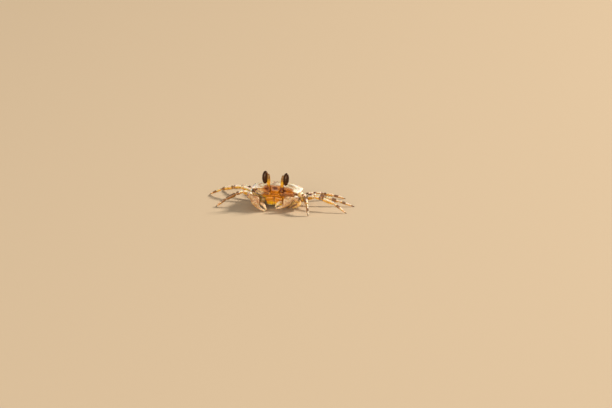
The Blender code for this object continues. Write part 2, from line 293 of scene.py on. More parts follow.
# The grooves that part them, in plan on the left half.
GROOVES = (
    ((1.5, -4.6), (2.5, -3.2), (2.3, -1.4), (1.7, 0.4), (1.8, 2.2), (2.6, 4.4), (2.9, 6.0)),
    ((0.0, 0.9), (0.9, 0.7), (1.7, 0.4)),
    ((2.4, -1.6), (3.8, -2.3), (5.4, -3.6), (6.6, -4.2)),
    ((2.1, 2.8), (4.2, 3.2), (6.6, 4.6)),
)
GROOVE_WIDTH, GROOVE_DEPTH = 0.50, 0.30
BEAD_STEP, KEEL_WIDTH, KEEL_RISE = 0.40, 0.22, 0.19
TOOTH_AT, TOOTH_SIZE = (9.2, -7.8), 0.75      # the outer corner of the eye hollow
UPPER_RIM, LOWER_RIM, RIM_WIDTH = 7.75, 5.35, 0.24      # heights of the rims above and below the hollow


def carapace():
    """The shell's points and faces, and the values that say where its colours lie."""
    points, faces = even_skin("carapace", SHELL_GRAIN)
    edges = edges_of(faces)
    points = relaxed(level(points), edges, rounds=22)
    x, y, z = points.T
    side = np.abs(x)

    # the height of the side keel at each place along the body is where the body is widest
    stations = np.linspace(y.min() + 0.4, y.max() - 0.4, 30)
    widest = [np.argmax(np.where(np.abs(y - place) < 0.2, side, 0)) for place in stations]
    keel_z = np.polyval(np.polyfit(stations, z[widest], 3), y)
    keel_x = np.polyval(np.polyfit(stations, side[widest], 4), y)
    at_side = ease(side, keel_x - 1.5, keel_x - 0.3)

    # the edge of the back is sharp beside the eyes and rounds off towards the hind corners
    rounding = 0.9 * ease(side, keel_x - 2.5, keel_x - 1.0) * ease(y, -4.5, 1.5)
    points = points + rounding[:, None] * (relaxed(points, edges, rounds=90) - points)
    facing = outward(points, faces)
    x, y, z = points.T
    side = np.abs(x)
    on_top = ease(facing[:, 2], 0.15, 0.6)

    plan = np.stack((side, y), axis=1)
    groove = np.clip(sum(bell(near_line(plan, line), GROOVE_WIDTH) for line in GROOVES), 0, 1) * on_top
    swell = sum(rise * bell(np.hypot(side - a, (y - b) * squeeze), size)
                for a, b, squeeze, size, rise in FIELDS)
    bead = 0.70 + 0.30 * np.cos(y * math.tau / BEAD_STEP + 1.2 * clouds(points, 1.5, 4))
    keel = bell(z - keel_z, KEEL_WIDTH) * at_side * (1 - 0.9 * ease(y, -3.5, 2.5))
    rise = on_top * swell - GROOVE_DEPTH * groove + KEEL_RISE * keel * bead
    points = points + facing * rise[:, None]

    # a tooth at the outer corner of each eye hollow, the forehead turned down, and the rims of the hollows
    corner = np.stack((side - TOOTH_AT[0], y - TOOTH_AT[1], z - keel_z), axis=1)
    tooth = bell(np.linalg.norm(corner, axis=1), TOOTH_SIZE)[:, None]
    points += tooth * (np.outer(np.sign(x), (0.15, 0, 0)) + (0, -0.80, 0.10))
    brow = ease(-side, -2.4, -1.2) * ease(-y, 7.2, 8.1) * bell(z - 7.2, 0.9)
    points -= brow[:, None] * (0, 0.50, 0.25)
    reach = between(side, 1.6, 2.4, 7.6, 8.6) * ease(-y, 7.4, 8.0)
    upper_rim, lower_rim = (reach * bell(z - rim + 0.05 * side, RIM_WIDTH) for rim in (UPPER_RIM, LOWER_RIM))
    points[:, 1] -= 0.22 * upper_rim * (0.85 + 0.15 * np.cos(side * math.tau / 0.5))
    points[:, 1] -= 0.30 * lower_rim * (0.80 + 0.20 * np.cos(side * math.tau / 0.42))

    # pebbles, boldest along the keel and on sharp edges
    facing = outward(points, faces)
    hump = points - mean_of_neighbours(relaxed(points, edges, rounds=6), edges)
    sharp = ease(np.einsum("ij,ij->i", hump, facing), 0.004, 0.03)
    under = ease(-facing[:, 2], 0.5, 0.9)
    bold = (0.35 + 0.65 * at_side + 0.9 * sharp) * (1 - 0.85 * under) * (0.75 + 0.35 * clouds(points, 2.2, 1))
    points += facing * (0.060 * bold * pebbles(points, PEBBLE, 2.0))[:, None]
    points += facing * (0.035 * clouds(points, 1.1, 3) * (1 - under))[:, None]

    # painted shade: the inner part of each eye hollow, later coloured dark maroon
    hollow = bell(z - 6.6 + 0.03 * side, 0.75) * ease(-facing[:, 1], -0.6, 0.1)
    marks = sum(bell(np.hypot((side - a) / drawn, y - b), 0.55) for a, b, drawn in DARK_MARKS)
    stalk_spot = bell(np.hypot((side - 3.4) / 1.5, z - 7.15), 0.85)
    brow_spot = bell(np.hypot(side / 2.1, z - 8.0), 0.55)
    # pale margins along the keel and shoulders, partly the shell's own pale edge and partly a painted
    # highlight; on the left shoulder, where the key light falls, a painted highlight only
    keel_pale_and_highlight = at_side * bell(z - keel_z - 0.35, 0.75) * (1 - 0.6 * ease(y, -2.0, 4.0))
    pale_shoulders_and_highlight = 0.62 * ease(side, keel_x - 4.5, keel_x - 1.0) * ease(-y, 0.5, 4.5)
    painted_left_highlight = 0.75 * ease(x, 3.2, 5.4) * bell(y + 0.6 + 0.25 * (x - 6), 1.8)
    values = {
        "back": ease(facing[:, 2] + 0.25 * (z - keel_z), 0.1, 0.75) * ease(y, -8.9, -8.1 + 0.06 * side),
        "front": ease(-y, 3.6, 7.6) * between(x, -6.2, -4.2, 6.6, 8.6),
        "lip": np.clip(upper_rim + lower_rim, 0, 1),
        "sharp": sharp,
        "low": ease(-z, -5.0, -3.2),
        "groove": groove,
        "mark": np.clip(marks * on_top, 0, 1),
        "hollow": hollow * ease(side, 1.4, 2.2) * ease(-y, 7.0, 7.7),
        "spot": np.maximum(stalk_spot, brow_spot) * ease(-y, 6.9, 7.6),
        # rim: the pale margins together with the painted highlight
        "rim": np.maximum(keel_pale_and_highlight, np.maximum(pale_shoulders_and_highlight, painted_left_highlight) * on_top),
    }
    return leaned(points), faces, values


def carapace_finish():
    """Sandy cream freckled with brown on the back, whitened at the margins and shoulders partly by a painted
    highlight, amber on the brow and face, painted maroon shade in the eye hollows.
    """
    material, shader, place = new_finish("carapace_shell", glow=0.20, coat=0.08)
    back, front, sharp, low, groove = map(place.value_of, ("back", "front", "sharp", "low", "groove"))
    mark, hollow, spot, rim, lip = map(place.value_of, ("mark", "hollow", "spot", "rim", "lip"))
    freckle = place.specks(0.55, 4.0, 0.65).ease(0.50, 0.62)
    blotch = place.specks(2.6, 4.0, 0.62, 0.5).ease(0.48, 0.62)

    cream = place.specks(0.9, 4.0, 0.6).ease(0.36, 0.66).tint((0.84, 0.73, 0.56), (0.62, 0.45, 0.27))
    cream = (place.cells(0.42).ease(0.36, 0.16) * 0.6).tint(cream, (0.94, 0.89, 0.78))
    top = (blotch * 0.65).tint(cream, (0.42, 0.25, 0.12))
    top = (freckle * (0.35 + blotch * 0.5)).tint(top, (0.16, 0.075, 0.035))
    dark = (mark + place.specks(0.55, 5.0, 0.7, 0.8) * 2.0 - 1.05).ease(0.30, 0.75)
    top = (dark * 0.85).tint(top, (0.110, 0.046, 0.026))
    top = (groove * 0.5).tint(top, (0.30, 0.15, 0.06))
    # the margins and shoulders whitened, partly their own pale edge and partly a painted highlight
    pale = (rim + place.specks(0.6, 4.0) * 1.2).ease(0.95, 1.4)
    top = (pale * 0.95).tint(top, (0.97, 0.94, 0.87))

    amber = place.specks(1.8, 3.0, 0.6, 0.4).ease(0.38, 0.66).tint((0.66, 0.235, 0.003), (0.41, 0.105, 0.002))
    face = low.tint(amber, (0.84, 0.47, 0.008))
    face = (freckle * 0.5).tint(face, (0.26, 0.07, 0.012))
    flank = place.specks(1.4, 4.0, 0.6).ease(0.36, 0.66).tint((0.86, 0.63, 0.30), (0.58, 0.33, 0.10))
    flank = (freckle * 0.45).tint(flank, (0.26, 0.12, 0.05))
    ivory = (lip + place.specks(0.5, 3.0) * 0.5).ease(0.5, 0.9)
    flank = (ivory * 0.9).tint(flank, (0.95, 0.92, 0.86))
    lower = front.tint(flank, face)
    # painted shade: dark maroon inside the eye hollows
    maroon = (hollow + place.specks(0.6, 3.0) * 0.7).ease(0.85, 1.25)
    lower = (maroon * 0.8).tint(lower, (0.16, 0.028, 0.014))

    scorched = place.specks(0.7, 4.0, 0.65, 0.5).ease(0.40, 0.56).tint(amber, (0.15, 0.030, 0.010))
    brow = (front + place.specks(0.8, 3.0) * 0.5).ease(0.75, 1.25)
    colour = back.tint(lower, (brow * 0.85).tint(top, scorched))
    ridge = sharp * front.ease(0.1, 0.5)
    colour = (ridge * 0.8).tint(colour, (0.115, 0.030, 0.012))
    # near-black spots at the foot of each eyestalk and in the middle of the brow
    near_black_spots = (spot + place.specks(0.5, 4.0, 0.7) * 1.0).ease(0.85, 1.15)
    colour = (near_black_spots * 0.92).tint(colour, (0.10, 0.016, 0.010))
    relief = 1.0 - place.cells(0.2).ease(0.0, 0.65) + place.specks(0.07, 2.0) * 0.5
    lay_on(shader, colour, 0.24 + place.specks(0.8) * 0.26, relief, 0.030)
    return material


points, faces, values = carapace()
put_piece("carapace_shell", points, faces, carapace_finish(), ["carapace"], values)

# Eyes. Each is a long dark cornea wrapped round the outer side of a stalk that stands up from its hollow.
# The cornea is smooth and glassy over thousands of tiny facets. The stalk is thin amber shell, jointed at its
# foot.
CORNEA_ROUND = [((1 - math.cos(turn)) / 2, math.sin(turn) ** 0.96) for turn in np.linspace(0, math.pi, 41)]
STALK_ROUND = ((0, 0), (0.01, 0.70), (0.04, 0.98), (0.10, 1.04), (0.15, 0.90), (0.19, 0.96), (0.3, 0.88),
               (0.5, 0.92), (0.68, 0.99), (0.82, 0.86), (0.92, 0.70), (0.97, 0.50), (0.993, 0.28), (1, 0))
STALK_HALF = (0.72, 0.66)                     # the stalk's half depth and half breadth
LAP = 0.30                                    # how far the cornea laps on to the stalk


def unit(vector):
    return vector / np.linalg.norm(vector)


def poles(node):
    """The two ends of a packed pod, the lower first. They are the corners where most of its faces meet."""
    corners, which = np.unique(np.round(solid_points(node), 4), axis=0, return_inverse=True)
    loops = np.concatenate([tuple(face.vertices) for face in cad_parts[node].data.polygons])
    ends = corners[np.argsort(-np.bincount(which.ravel()[loops]))[:2]]
    return ends[np.argsort(ends[:, 2])]


def cross_section(node, ends):
    """A pod's deepest direction, and its greatest half depth and half breadth."""
    axis = unit(ends[1] - ends[0])
    spokes = solid_points(node) - ends[0]
    spokes -= np.outer(spokes @ axis, axis)
    deep = np.linalg.svd(spokes, full_matrices=False)[2][0]
    deep = deep * (1 if deep[2] > 0 else -1)
    return deep, np.abs(spokes @ deep).max(), np.abs(spokes @ np.cross(axis, deep)).max()


def along_rows(rows, share):
    """The numbers of a table of rows, read at each share of the length with the corners rounded off."""
    places, *columns = np.array(rows, dtype=float).T
    spread = np.clip(share + np.linspace(-0.02, 0.02, 9)[:, None], 0, 1)
    return [np.interp(spread, places, column).mean(0) for column in columns]


def loft(start, end, deep, half_deep, half_broad, rows, around=40, step=0.1, bend=0.0, boxy=2.0):
    """A pod drawn from start to end: a grid of points, and for each its distance along and its angle round.

    Angle 0 looks along the broad direction and a quarter turn along the deep one. Rows hold a share of the
    length, the share of the full girth there, and if it differs the share of the full depth.
    """
    length = np.linalg.norm(end - start)
    share = np.linspace(0, 1, max(14, int(length / step)))
    share = share - 0.6 * np.sin(share * math.tau) / math.tau
    girth = along_rows(rows, share)
    axis = unit(end - start)
    deep = unit(deep - axis * (deep @ axis))
    broad = np.cross(axis, deep)
    angle = np.arange(around) * math.tau / around
    flat = (np.abs(np.cos(angle)) ** boxy + np.abs(np.sin(angle)) ** boxy) ** (-1 / boxy)
    spine = start + np.outer(share, end - start) + np.outer(bend * 4 * share * (1 - share), deep)
    reach_b = girth[0][:, None] * half_broad * np.cos(angle) * flat
    reach_d = girth[-1][:, None] * half_deep * np.sin(angle) * flat
    grid = spine[:, None] + reach_b[..., None] * broad + reach_d[..., None] * deep
    return grid, *np.broadcast_arrays(share[:, None] * length, angle)


def grid_facing(grid):
    along = np.gradient(grid, axis=0)
    around = np.roll(grid, -1, axis=1) - np.roll(grid, 1, axis=1)
    facing = np.cross(along, around)
    return facing / np.maximum(np.linalg.norm(facing, axis=2), 1e-9)[..., None]


def closed_points(grid):
    """The points of a grid of rings and a middle point for each end."""
    return np.concatenate((grid.reshape(-1, 3), grid[0].mean(0)[None], grid[-1].mean(0)[None]))


def grid_faces(grid):
    """Squares between the rings, and a fan to close each end."""
    rings, around = grid.shape[:2]
    at = np.arange(rings * around).reshape(rings, around)
    beside = np.roll(at, -1, axis=1)
    squares = np.stack((at[:-1], at[1:], beside[1:], beside[:-1]), axis=2).reshape(-1, 4).tolist()
    first, last = at.size, at.size + 1
    fans = [(a, b, first) for a, b in zip(at[0].tolist(), beside[0].tolist())]
    fans += [(b, a, last) for a, b in zip(at[-1].tolist(), beside[-1].tolist())]
    return squares + fans


def put_loft(name, grid, material, nodes, values):
    """Make a piece from a grid of rings and the values of its points."""
    numbers = {k: np.concatenate((v.ravel(), [v[0].mean(), v[-1].mean()])) for k, v in values.items()}
    put_piece(name, closed_points(grid), grid_faces(grid), material, nodes, numbers)


def cornea_finish():
    """Near-black brown glass with a wine tint, a paler rim where it meets the stalk, and a fine honeycomb."""
    material, shader, place = new_finish("cornea_glass", coat=0.12)
    shader.inputs["Coat Roughness"].default_value = 0.12
    shader.inputs["Specular IOR Level"].default_value = 0.30
    shader.inputs["Specular Tint"].default_value = (1.0, 0.72, 0.45, 1.0)
    deep = place.specks(1.3, 3.0, 0.6).ease(0.35, 0.7).tint((0.022, 0.0065, 0.0015), (0.050, 0.015, 0.005))
    colour = (place.value_of("rim") * 0.8).tint(deep, (0.30, 0.13, 0.03))
    comb = place.cells(0.045).ease(0.1, 0.6)
    lay_on(shader, colour, 0.24 + place.specks(0.5) * 0.12, 1.0 - comb, 0.004)
    return material


def stalk_finish():
    """Bright amber shell, brown at the top and scorched maroon towards the foot."""
    material, shader, place = new_finish("stalk_shell", glow=0.35, coat=0.25)
    high = place.value_of("high")
    amber = place.specks(0.9, 3.0, 0.6).ease(0.35, 0.7).tint((0.82, 0.46, 0.006), (0.68, 0.29, 0.004))
    brown = place.specks(0.5, 3.0, 0.65).ease(0.4, 0.65).tint((0.30, 0.14, 0.02), (0.10, 0.040, 0.012))
    colour = (high + place.specks(0.8, 3.0) * 0.5).ease(0.72, 1.1).tint(amber, brown)
    scorched = place.specks(0.45, 4.0, 0.65).ease(0.36, 0.56).tint((0.50, 0.17, 0.012), (0.12, 0.022, 0.010))
    colour = (0.74 - high + place.specks(0.6, 3.0) * 0.3).ease(0.38, 0.62).tint(colour, scorched)
    lay_on(shader, colour, 0.30 + place.specks(0.4) * 0.2, place.specks(0.12, 3.0, 0.6), 0.020)
    return material


cornea_glass, stalk_shell = cornea_finish(), stalk_finish()
for side in ("left", "right"):
    cornea, stalk = "cornea_" + side, "eyestalk_" + side
    low_end, high_end = poles(cornea)
    foot, head = poles(stalk)
    axis = unit(high_end - low_end)
    towards = (foot + head - low_end - high_end) / 2
    towards = unit(towards - axis * (towards @ axis))
    radius = cross_section(cornea, (low_end, high_end))[1]
    shift = towards * LAP / 2
    grid, run, _ = loft(low_end + shift, high_end + shift, towards, radius + LAP / 2, radius,
                        CORNEA_ROUND, around=72, step=0.06)
    grid += grid_facing(grid) * (0.012 * np.cos(run * math.tau / 1.7))[..., None]
    inner = (grid - grid.mean((0, 1))) @ towards / radius
    put_loft(cornea + "_glass", grid, cornea_glass, [cornea], {"rim": ease(inner, 0.55, 0.85)})

    grid, run, angle = loft(foot, head, towards, *STALK_HALF, STALK_ROUND, around=56, step=0.06)
    share = run / np.linalg.norm(head - foot)
    folds = 0.025 * np.cos(angle * 9 + run * 0.8) * bell(share - 0.24, 0.10)
    folds += 0.020 * np.cos(run * math.tau / 0.16) * bell(share - 0.13, 0.035)
    grid += grid_facing(grid) * folds[..., None]
    put_loft(stalk + "_shell", grid, stalk_shell, [stalk], {"high": share})

# Mouth. Two broad plates close it like doors, each jointed across above its middle, under a ridged bar that
# carries the two pairs of short feelers. All are thin amber shell, hinged to the body out of sight.
PLATE_ROUND = ((0, 0, 0), (0.006, 0.62, 0.5), (0.03, 0.84, 0.8), (0.09, 0.94, 1.0), (0.3, 1.0, 1.1),
               (0.7, 0.97, 1.0), (0.91, 0.84, 0.9), (0.975, 0.68, 0.7), (0.995, 0.45, 0.4), (1, 0, 0))
PLATE_BREADTH, PLATE_SHIFT = 1.05, -0.03      # the plates meet at the middle line
PLATE_JOINT, PLATE_RIM = 0.40, 1.36           # share of the length at the joint, millimetres out to the rim
FRAME_HALF, FRAME_MIDDLE, FRAME_UP = 4.1, (-6.9, 2.9), np.array((0.0, -0.45, 0.89))
FRAME_ROUND = ((0, 0), (0.02, 0.35), (0.08, 0.66), (0.2, 0.92), (0.5, 1.0), (0.8, 0.92), (0.92, 0.66),
               (0.98, 0.35), (1, 0))
FEELER_STEP, RIB_STEP = 0.24, 0.36


def body_part(node, spacing, rounds, swell):
    """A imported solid's rounded surface in the level body's millimetres, pushed out to the facets' outline."""
    points, faces = even_skin(node, spacing, soften=1)
    points = relaxed(level(points), edges_of(faces), rounds)
    points = points + outward(points, faces) * swell
    return points, faces, outward(points, faces)


def face_finish():
    """Amber above, bright yellow below, pale at the lower edge and along the ridges, flecked with brown."""
    material, shader, place = new_finish("face_shell", glow=0.45, coat=0.2)
    low, ridge = place.value_of("low"), place.value_of("ridge")
    amber = place.specks(1.4, 3.0, 0.6, 0.4).ease(0.36, 0.68).tint((0.74, 0.29, 0.005), (0.50, 0.14, 0.003))
    yellow = place.specks(0.7, 3.0).ease(0.3, 0.7).tint((0.96, 0.62, 0.012), (0.86, 0.44, 0.010))
    colour = low.ease(0.40, 0.66).tint(amber, yellow)
    colour = (low + place.specks(0.6) * 0.25).ease(0.98, 1.12).tint(colour, (0.94, 0.86, 0.66))
    fleck = place.specks(0.34, 3.0, 0.6).ease(0.58, 0.72) * 0.75
    colour = fleck.tint(colour, (0.26, 0.075, 0.012))
    colour = (ridge * 0.45).tint(colour, (0.86, 0.56, 0.20))
    lay_on(shader, colour, 0.32 + place.specks(0.5) * 0.2, place.specks(0.10, 3.0, 0.6), 0.018)
    return material


face_shell = face_finish()
for side, sign in (("left", 1), ("right", -1)):
    node = "mouth_plate_" + side
    foot, top = poles(node)
    half_thick, half_wide = sorted(cross_section(node, (top, foot))[1:])
    top, foot = level(np.stack((top, foot))) + (sign * PLATE_SHIFT, 0.0, 0.0)
    grid, run, _ = loft(top, foot, np.array((0.0, -1.0, 0.0)), half_thick, half_wide * PLATE_BREADTH,
                        PLATE_ROUND, around=112, step=0.045, bend=0.10, boxy=3.6)
    share = run / run.max()
    facing = grid_facing(grid)
    front = ease(-facing[..., 1], 0.1, 0.5)
    across = (grid[..., 0] - (top + foot)[0] / 2) * sign + PLATE_SHIFT
    joint = bell(share - PLATE_JOINT - 0.04 * across, 0.016)
    furrow = bell(across + 0.35 - 0.1 * share, 0.11) * between(share, 0.46, 0.56, 0.78, 0.90)
    palp = bell(np.hypot(across - 0.55, (share - 0.14) * 3.6), 0.40)
    rim = bell(np.abs(across) - PLATE_RIM, 0.14)
    grain = pebbles(grid, 0.20, 5.0)
    rise = front * (0.12 * palp + 0.07 * rim - 0.15 * joint - 0.10 * furrow + 0.03 * grain * (1 - joint))
    ridge = front * np.clip(0.6 * rim + 0.5 * palp, 0, 1)
    put_loft(node + "_shell", leaned(grid + facing * rise[..., None]), face_shell, [node],
             {"low": share, "ridge": ridge})

# the frame that the plates close against, a thick lip standing a little behind them
ends = np.array([(sign * FRAME_HALF, *FRAME_MIDDLE) for sign in (-1, 1)])
grid, run, _ = loft(*ends, FRAME_UP, half_deep=1.75, half_broad=0.55, rows=FRAME_ROUND,
                    around=72, step=0.06, boxy=2.8)
grid = grid + grid_facing(grid) * 0.035 * pebbles(grid, 0.26, 6.0)[..., None]
put_loft("mouth_frame_shell", leaned(grid), face_shell, [],
         {"low": np.full(run.shape, 0.40), "ridge": np.full(run.shape, 0.1)})

points, faces, facing = body_part("mouth_bar", spacing=0.065, rounds=8, swell=0.03)
x, y, z = points.T
feeler = ease(z, 5.35, 5.7)
rings = 0.035 * np.cos(z * math.tau / FEELER_STEP) * feeler
ribs = 0.030 * np.cos(x * math.tau / RIB_STEP) * (1 - feeler) * ease(-facing[:, 1], 0.1, 0.6)
points += facing * (rings + ribs + 0.02 * pebbles(points, 0.2, 7.0))[:, None]
put_piece("mouth_bar_shell", leaned(points), faces, face_shell, ["mouth_bar"],
          {"low": 0.30 * (1 - feeler), "ridge": 0.5 * feeler})

# Belly. The breast plate is a broad shield of fused segments that carries the legs, and the tail is a short
# jointed flap folded forward beneath it. Both are pale thin shell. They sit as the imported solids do.
BREAST_JOINTS = (-6.2, -3.9, -1.7, 0.5, 2.7)
TAIL_JOINTS = (0.75, 1.75, 2.9, 4.6, 6.6, 8.6, 10.4)
TAIL_TURN, TAIL_DROP = 5.6, 4.2               # where along the body it turns under, and its height there


def belly_finish():
    """Ivory shell warmed with ochre at the sutures, faintly mottled grey."""
    material, shader, place = new_finish("belly_shell", glow=0.35, coat=0.1)
    ivory = place.specks(1.8, 4.0, 0.6).ease(0.3, 0.72).tint((0.84, 0.73, 0.54), (0.64, 0.47, 0.27))
    colour = (place.specks(0.5, 3.0).ease(0.58, 0.75) * 0.5).tint(ivory, (0.40, 0.25, 0.13))
    colour = (place.value_of("seam") * 0.75).tint(colour, (0.50, 0.24, 0.06))
    colour = (place.specks(1.1, 4.0, 0.65, 0.4).ease(0.54, 0.64) * 0.6).tint(colour, (0.34, 0.17, 0.07))
    lay_on(shader, colour, 0.40 + place.specks(0.6) * 0.2, place.specks(0.12, 3.0, 0.6), 0.020)
    return material


belly_shell = belly_finish()
points, faces, facing = body_part("breast_plate", spacing=0.13, rounds=12, swell=0.05)
x, y, z = points.T
seam = sum(bell(y - 0.05 * x * x - place, 0.13) for place in BREAST_JOINTS) * ease(-facing[:, 2], -0.3, 0.3)
seam = np.clip(seam + bell(np.abs(x) - 2.3, 0.10) * ease(-facing[:, 2], 0.2, 0.6) * 0.6, 0, 1)
points += facing * (0.02 * clouds(points, 0.9, 5) - 0.15 * seam)[:, None]
put_piece("breast_plate_shell", leaned(points), faces, belly_shell, ["breast_plate"],
          {"seam": seam})

points, faces, facing = body_part("tail", spacing=0.085, rounds=16, swell=0.05)
x, y, z = points.T
# the way along the tail: down its back end, then forward beneath the breast
way = np.where(y > TAIL_TURN, TAIL_DROP - z + 0.10 * x * x, 3.2 + TAIL_TURN - y + 0.06 * x * x)
nearest = np.min([np.where(way > place, way - place, 9.0) for place in TAIL_JOINTS], axis=0)
seam = sum(bell(way - place, 0.10) for place in TAIL_JOINTS)
lap = np.clip(1 - nearest / 1.3, 0, 1) * (nearest > 0.06)
under = 1 - ease(np.abs(facing[:, 0]), 0.5, 0.9)
rise = under * (0.16 * lap - 0.10 * seam) + 0.10 * bell(x, 1.1) + 0.03 * clouds(points, 0.8, 6)
points += facing * rise[:, None]
points += facing * (0.025 * pebbles(points, 0.3, 8.0))[:, None]
put_piece("tail_shell", leaned(points), faces, belly_shell, ["tail"], {"seam": seam})

# Bristles on the body. Short stiff hairs fringe the mouth, the tail and the lower edge of the eye hollows,
# and stand thinly on the flanks. Each is a solid three-sided spike of horn, sunk in the shell and paler at
# its point.
BRISTLE_GIRTH = 0.024
BAKE_PATCH = 0.0015                           # half the size of each hair's patch on the unwrapped skin
# a spike's corners are a ring of three at its foot, a ring of three half way up, and its point
SPIKE_CORNERS = 7
SPIKE_FACES = ((0, 1, 4, 3), (1, 2, 5, 4), (2, 0, 3, 5), (3, 4, 6), (4, 5, 6), (5, 3, 6), (2, 1, 0))
SUNK, NARROWED, DROOP = 0.05, 0.62, np.array((0.0, 0.0, -0.10))


def put_bristles(name, roots, ways, lengths, unwrap, material, slot, values=None):
    """One mesh of spikes. Each leans along its way from its root, with its own patch on the skin's unwrap."""
    count = len(roots)
    turn = np.arange(3) * math.tau / 3
    circle = np.stack((np.cos(turn), np.sin(turn)), axis=1)
    first = np.cross(ways, np.where(np.abs(ways[:, 2:]) < 0.9, (0.0, 0.0, 1.0), (1.0, 0.0, 0.0)))
    first /= np.linalg.norm(first, axis=1)[:, None]
    girth = BRISTLE_GIRTH * (0.7 + 0.3 * lengths / lengths.max())[:, None, None]
    ring = circle @ np.stack((first, np.cross(ways, first)), axis=1) * girth
    low = roots - SUNK * ways
    middle = roots + 0.5 * lengths[:, None] * ways
    tip = roots + lengths[:, None] * (ways + DROOP)
    spikes = np.concatenate((low[:, None] + ring, middle[:, None] + ring * NARROWED, tip[:, None]), axis=1)
    spikes[..., 2] = np.maximum(spikes[..., 2], 0.0)
    starts = range(0, count * SPIKE_CORNERS, SPIKE_CORNERS)
    faces = [tuple(start + corner for corner in face) for start in starts for face in SPIKE_FACES]
    numbers = {label: np.repeat(number, SPIKE_CORNERS) for label, number in (values or {}).items()}
    numbers["rise"] = np.tile((0, 0, 0, 0.5, 0.5, 0.5, 1.0), count)
    piece = put_piece(name, spikes.reshape(-1, 3), faces, material, [], numbers)

    spread = BAKE_PATCH * np.concatenate((circle, 0.6 * circle, [(0, 0)]))
    patches = (0.004 + 0.992 * np.clip(unwrap, 0, 1))[:, None] + spread
    flat = piece.data.uv_layers.new(name="OFBake")
    corners = np.empty(len(piece.data.loops), dtype=int)
    piece.data.loops.foreach_get("vertex_index", corners)
    flat.data.foreach_set("uv", patches.reshape(-1, 2)[corners].ravel())


def pick(rng, weights, count):
    """Places for hairs: distinct points drawn by weight."""
    weights = np.maximum(weights, 0)
    count = min(count, int((weights > 0).sum()))
    return rng.choice(len(weights), size=count, replace=False, p=weights / weights.sum())


def combed(rng, facing, comb, lift=0.7, stray=0.25):
    """Directions for hairs that stand up from the skin and lean the way they are combed."""
    ways = lift * facing + (1 - lift) * np.array(comb) + stray * rng.normal(size=facing.shape)
    return ways / np.linalg.norm(ways, axis=1)[:, None]


def bristle_finish():
    """Straw horn, browner and clouded at the root."""
    material, shader, place = new_finish("body_bristle", glow=0.15)
    root = place.specks(1.2, 3.0).ease(0.3, 0.7).tint((0.50, 0.28, 0.10), (0.30, 0.168, 0.06))
    colour = (place.value_of("rise") + place.specks(0.4) * 0.3).ease(0.2, 1.0).tint(root, (0.82, 0.66, 0.42))
    lay_on(shader, colour, 0.40 + place.specks(0.3) * 0.2)
    return material


BODY_HAIRS = (
    # node, slot, how many, length, and each point's weight from its place in the level body and its facing
    ("carapace", "carapace", 1500, 0.30,
     lambda p, f: ease(-f[:, 2], -0.25, 0.3) * ease(-p[:, 2], -5.6, -4.0)),
    ("carapace", "carapace", 420, 0.34,
     lambda p, f: (ease(np.abs(p[:, 0]), 1.6, 2.4) * ease(-p[:, 1], 8.0, 8.5)
                   * bell(p[:, 2] - LOWER_RIM, 0.22))),
    ("mouth_plate_left", "mouth_shell", 150, 0.25,
     lambda p, f: ease(-f[:, 0], 0.5, 0.9) + ease(-f[:, 2], 0.4, 0.9)),
    ("mouth_plate_right", "mouth_shell", 150, 0.25,
     lambda p, f: ease(f[:, 0], 0.5, 0.9) + ease(-f[:, 2], 0.4, 0.9)),
    ("tail", "belly_shell", 360, 0.26,
     lambda p, f: ease(-np.abs(f[:, 2] + 0.2), -0.5, -0.1) * ease(np.abs(f[:, 0]), 0.3, 0.8)),
)
body_bristle = bristle_finish()
for k, (node, slot, count, length, weigh) in enumerate(BODY_HAIRS):
    skin = bpy.data.objects[node + "_shell"].data
    points = level(np.array([vert.co for vert in skin.vertices]) * TO_MM)
    facing = np.array([vert.normal for vert in skin.vertices]) @ lean
    rng = np.random.default_rng(40 + k)
    chosen = pick(rng, weigh(points, facing), count)
    roots = points[chosen]
    ways = combed(rng, facing[chosen], (0.0, -0.5, -0.5), lift=0.75)
    lengths = length * rng.uniform(0.6, 1.3, len(chosen))
    x, y, z = (roots - (points.min(0) + points.max(0)) / 2).T
    unwrap = np.stack((np.arctan2(z, x) / math.tau + 0.5, y / np.ptp(points[:, 1]) + 0.5), axis=1)
    name = "%s_bristles_%d" % (node, k)
    put_bristles(name, leaned(roots), ways @ lean.T, lengths, unwrap, body_bristle, slot)

# Walking legs. Four to a side, each of five thin shell tubes with a hinge between each pair: a short root, a
# deep flat thigh, a wedge-shaped wrist, a flat hand and a fluted toe. The shell is glassy amber below, white
# above with brown bands, the white partly a painted highlight. Every tube runs from the middle of one packed
# joint to the middle of the next.
LEG_PARTS = ("root", "thigh", "wrist", "hand", "toe")
LEG_ROUND = {
    "root": ((0, 0), (0.05, 0.72), (0.2, 0.98), (0.55, 1.0), (0.85, 0.86), (0.96, 0.62), (1, 0)),
    "thigh": ((0, 0, 0), (0.012, 0.52, 0.40), (0.04, 0.70, 0.50), (0.07, 0.62, 0.46), (0.12, 0.80, 0.66),
              (0.28, 1.0, 0.94), (0.5, 1.0, 1.0), (0.75, 0.93, 0.88), (0.9, 0.86, 0.72), (0.955, 0.90, 0.74),
              (0.985, 0.74, 0.60), (1, 0, 0)),
    "wrist": ((0, 0, 0), (0.03, 0.50, 0.42), (0.09, 0.66, 0.56), (0.3, 0.84, 0.82), (0.6, 1.0, 1.0),
              (0.86, 1.0, 0.98), (0.94, 0.92, 0.88), (0.98, 0.70, 0.66), (1, 0, 0)),
    "hand": ((0, 0, 0), (0.02, 0.55, 0.46), (0.06, 0.74, 0.62), (0.16, 0.94, 0.86), (0.4, 1.0, 1.0),
             (0.7, 0.88, 0.86), (0.92, 0.82, 0.72), (0.965, 0.84, 0.74), (0.99, 0.6, 0.5), (1, 0, 0)),
    "toe": ((0, 0, 0), (0.02, 0.62, 0.55), (0.06, 0.82, 0.72), (0.14, 0.95, 0.90), (0.3, 1.0, 1.0),
            (0.55, 0.86, 0.84), (0.75, 0.64, 0.60), (0.9, 0.38, 0.36), (0.97, 0.20, 0.18), (1, 0.0, 0.0)),
}
